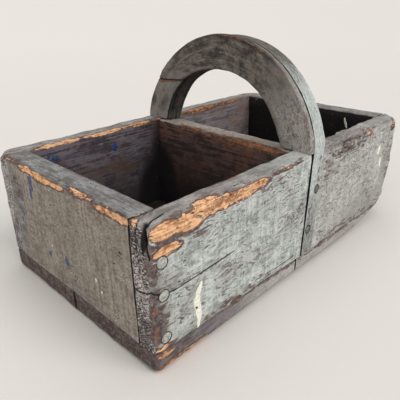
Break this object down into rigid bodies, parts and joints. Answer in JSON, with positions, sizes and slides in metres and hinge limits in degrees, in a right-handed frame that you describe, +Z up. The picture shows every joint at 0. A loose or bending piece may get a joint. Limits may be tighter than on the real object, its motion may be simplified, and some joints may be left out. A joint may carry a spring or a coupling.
{
  "type": "wooden caddy",
  "caption": "Old open-topped tool caddy of painted, nailed boards, split by a divider, with a bowed wooden handle across the middle to carry it by.",
  "frame": {"origin": "under the middle of the box, on the surface that it stands on", "axes": "+X along the box towards the end that the handle leans to, +Y across it towards the back, +Z up"},
  "size_m": [0.404, 0.24, 0.2356],
  "materials": {
    "wall_paint": "worn matt grey-green paint over softwood",
    "floor_paint": "worn grey paint over softwood",
    "divider_wood": "dark bare softwood, worn along the top",
    "handle_paint": "grey-brown paint, polished by hands",
    "nail_iron": "rusted iron"
  },
  "bodies": {
    "root": {"side_board_front_left": "wall_paint", "side_board_front_right": "wall_paint", "side_board_back_left": "wall_paint", "side_board_back_right": "wall_paint", "end_board_left": "wall_paint", "end_board_right": "wall_paint", "floor_board_front_left": "floor_paint", "floor_board_front_right": "floor_paint", "floor_board_back": "floor_paint", "divider_board": "divider_wood", "handle_bow": "handle_paint", "handle_face_bow": "handle_paint", "handle_face_foot": "handle_paint", "corner_nails_front_left": "nail_iron", "corner_nails_front_right": "nail_iron", "corner_nails_back_left": "nail_iron", "corner_nails_back_right": "nail_iron", "leg_nails_front": "nail_iron", "leg_nails_back": "nail_iron", "floor_nails_front_left": "nail_iron", "floor_nails_front_right": "nail_iron", "floor_nails_back": "nail_iron", "brads_face_bow": "nail_iron", "brads_face_foot": "nail_iron"}
  },
  "joints": []
}
